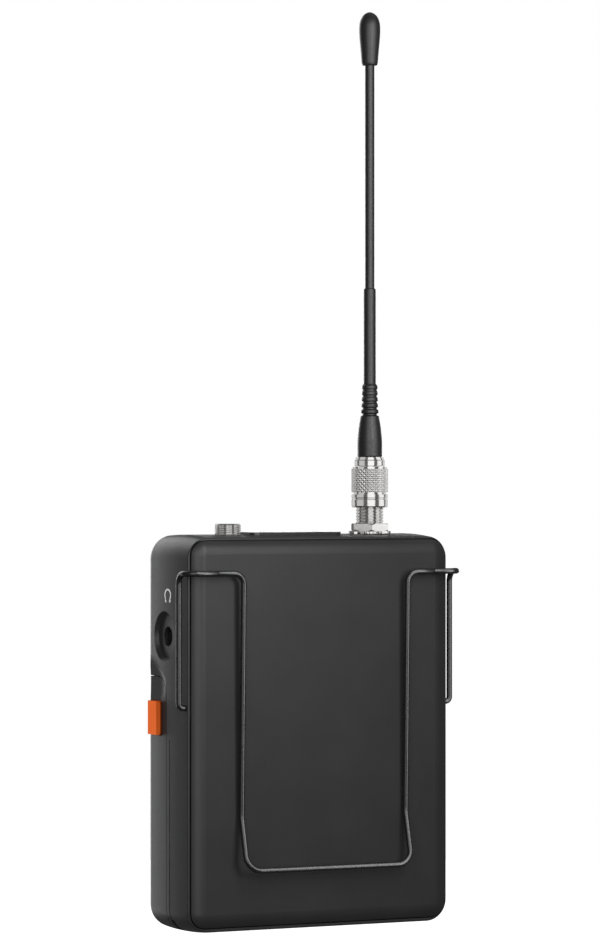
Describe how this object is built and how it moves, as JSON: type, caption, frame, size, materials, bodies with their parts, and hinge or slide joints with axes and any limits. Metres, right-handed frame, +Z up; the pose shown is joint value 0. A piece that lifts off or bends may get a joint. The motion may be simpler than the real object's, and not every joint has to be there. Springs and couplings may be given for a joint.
{
  "type": "wireless bodypack transmitter for a lavalier microphone",
  "caption": "Slim black bodypack transmitter with a wire belt clip, whip antenna, screw-lock microphone socket, headphone socket, hinged battery door and orange latches.",
  "frame": {"origin": "on the flat underside of the housing, on the middle plane of its width, 10 mm in front of the rim that the rear cover sits in; the antenna and microphone sockets stand in the plane y = 0", "axes": "+Z up along the antenna; the display and battery door face -Y; the rear cover and belt clip are at +Y; the microphone and headphone sockets are on the +X side"},
  "size_m": [0.0698, 0.029, 0.2093],
  "materials": {
    "body": "fine matt texture, charcoal black",
    "cover": "fine matt texture, charcoal black, slightly smoother on the rolled edge",
    "seal": "soft black foam rubber",
    "steel": "bright zinc-plated steel",
    "latch": "satin orange plastic",
    "inner": "plain black moulding",
    "cell": "plain printed film on a steel can",
    "nickel": "bright nickel plate",
    "board": "green solder mask",
    "screen": "dark display glass",
    "panel": "satin black",
    "lens": "dark tinted window",
    "key": "matt black silicone-coated key",
    "light": "milky light pipe",
    "gold": "gold flash on brass",
    "insulator": "white insulator",
    "rubber": "smooth black rubber",
    "wire": "glossy black coating on spring wire"
  },
  "bodies": {
    "pack": {"housing": "body", "back_cover": "cover", "cover_seal": "seal", "cover_screws": "steel", "hinge_pins": "steel", "battery_tray": "inner", "battery_cell_left": "cell", "battery_cell_right": "cell", "contact_plates": "nickel", "contact_springs": "nickel", "main_board": "board", "key_board": "board", "board_connector": "inner", "rf_shield": "nickel", "display_module": "screen", "key_switches": "inner", "front_panel": "panel", "display_window": "lens", "top_plate": "panel", "light_pipes": "light", "mic_socket_barrel": "nickel", "mic_socket_nut": "nickel", "mic_socket_body": "inner", "mic_socket_contacts": "gold", "headphone_socket": "inner", "antenna_socket": "nickel", "antenna_socket_insulator": "insulator", "antenna_socket_contact": "gold", "lock_washer": "nickel", "hex_nut": "nickel", "clip_arm_right": "wire", "clip_arm_left": "wire"},
    "battery_door": {"battery_door": "body", "latch_spring_right": "steel", "latch_spring_left": "steel"},
    "latch_right": {"latch_right": "latch"},
    "latch_left": {"latch_left": "latch"},
    "key_up": {"key_up": "key"},
    "key_down": {"key_down": "key"},
    "key_set": {"key_set": "key"},
    "power_key": {"power_key": "key"},
    "belt_clip": {"clip_loop": "wire"},
    "antenna": {"antenna_ferrule": "nickel", "antenna_pin": "gold", "crimp_tube": "nickel", "antenna_boot": "rubber"},
    "coupling_nut": {"coupling_nut": "nickel"},
    "whip": {"boot_tail": "rubber", "whip_sleeve": "rubber", "whip_rod": "rubber", "whip_core": "steel", "whip_cap": "rubber"}
  },
  "joints": [
    {"name": "door_hinge", "type": "hinge", "parent": "pack", "child": "battery_door", "pos_m": [0, 0.0016, 0.0017], "axis": [1, 0, 0], "range_deg": [0, 90]},
    {"name": "latch_right_press", "type": "slide", "parent": "battery_door", "child": "latch_right", "axis": [-1, 0, 0], "range_m": [0, 0.001], "stiffness_N_per_m": 900, "springref_m": -0.0008},
    {"name": "latch_left_press", "type": "slide", "parent": "battery_door", "child": "latch_left", "axis": [1, 0, 0], "range_m": [0, 0.001], "stiffness_N_per_m": 900, "springref_m": -0.0008},
    {"name": "key_up_press", "type": "slide", "parent": "pack", "child": "key_up", "axis": [0, 1, 0], "range_m": [0, 0.0004], "stiffness_N_per_m": 1500, "springref_m": -0.0003},
    {"name": "key_down_press", "type": "slide", "parent": "pack", "child": "key_down", "axis": [0, 1, 0], "range_m": [0, 0.0004], "stiffness_N_per_m": 1500, "springref_m": -0.0003},
    {"name": "key_set_press", "type": "slide", "parent": "pack", "child": "key_set", "axis": [0, 1, 0], "range_m": [0, 0.0004], "stiffness_N_per_m": 1500, "springref_m": -0.0003},
    {"name": "power_key_press", "type": "slide", "parent": "pack", "child": "power_key", "axis": [0, 1, 0], "range_m": [0, 0.0004], "stiffness_N_per_m": 1500, "springref_m": -0.0003},
    {"name": "belt_clip_flex", "type": "hinge", "parent": "pack", "child": "belt_clip", "pos_m": [0, 0.0139, 0.0806], "axis": [1, 0, 0], "range_deg": [0, 10], "stiffness_Nm_per_rad": 1.5, "springref_deg": -1.72},
    {"name": "antenna_lift", "type": "slide", "parent": "pack", "child": "antenna", "axis": [0, 0, 1], "range_m": [0, 0.00353]},
    {"name": "coupling_nut_turn", "type": "hinge", "parent": "antenna", "child": "coupling_nut", "pos_m": [-0.0181, 0, 0.1], "axis": [0, 0, 1], "range_deg": [0, 1800.5]},
    {"name": "whip_flex", "type": "hinge", "parent": "antenna", "child": "whip", "pos_m": [-0.0181, 0, 0.11805], "axis": [0, 1, 0], "range_deg": [-30, 30], "stiffness_Nm_per_rad": 0.08}
  ],
  "couplings": [
    {"joint": "coupling_nut_turn", "follows": "antenna_lift", "rad_per_m": 8899.7}
  ]
}
